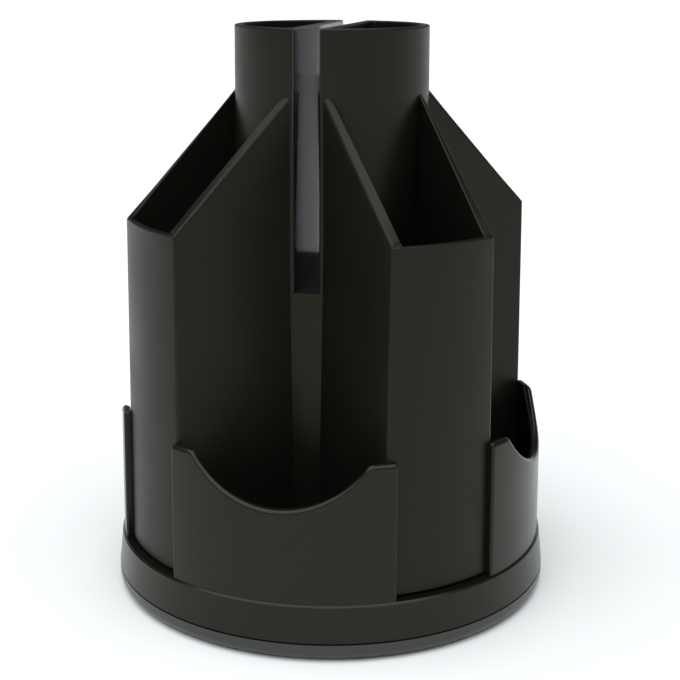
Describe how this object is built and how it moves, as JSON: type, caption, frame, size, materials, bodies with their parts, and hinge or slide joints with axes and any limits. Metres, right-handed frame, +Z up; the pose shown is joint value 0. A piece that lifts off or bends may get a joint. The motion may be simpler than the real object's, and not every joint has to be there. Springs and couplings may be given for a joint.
{
  "type": "rotating desk organizer",
  "caption": "Round rotating desk organizer with a slotted pen column, tall sloped pockets and low scooped pockets on a turntable foot.",
  "frame": {"origin": "centre of the underside, on the desk surface", "axes": "+Z up along the spin axis, Y along the paper channel, the two scooped pockets beside the pen tubes on +X and -X"},
  "size_m": [0.1282, 0.1282, 0.1629],
  "materials": {
    "body_plastic": "satin moulded plastic, near black with a warm brown cast",
    "pad_rubber": "matte black rubber",
    "acetal": "natural white acetal, slightly waxy",
    "bearing_steel": "polished bearing steel",
    "screw_steel": "zinc plated steel"
  },
  "bodies": {
    "base": {"base_pan": "body_plastic", "pivot_bush": "acetal", "foot_pad_1": "pad_rubber", "foot_pad_2": "pad_rubber", "foot_pad_3": "pad_rubber", "foot_pad_4": "pad_rubber"},
    "cage": {"ball_cage": "acetal", "bearing_balls": "bearing_steel"},
    "turntable": {"turntable_tray": "body_plastic", "pen_column": "body_plastic", "tall_pocket_1": "body_plastic", "tall_pocket_2": "body_plastic", "tall_pocket_3": "body_plastic", "tall_pocket_4": "body_plastic", "scoop_wall_1": "body_plastic", "scoop_wall_2": "body_plastic", "scoop_wall_3": "body_plastic", "scoop_wall_4": "body_plastic", "column_screws": "screw_steel", "pivot_screw": "screw_steel", "pivot_washer": "screw_steel"}
  },
  "joints": [
    {"name": "turntable_spin", "type": "hinge", "parent": "base", "child": "turntable", "pos_m": [0, 0, 0.009], "axis": [0, 0, 1], "continuous": true},
    {"name": "cage_roll", "type": "hinge", "parent": "base", "child": "cage", "pos_m": [0, 0, 0.0092], "axis": [0, 0, 1], "continuous": true}
  ],
  "couplings": [
    {"joint": "cage_roll", "follows": "turntable_spin", "ratio": 0.5}
  ]
}
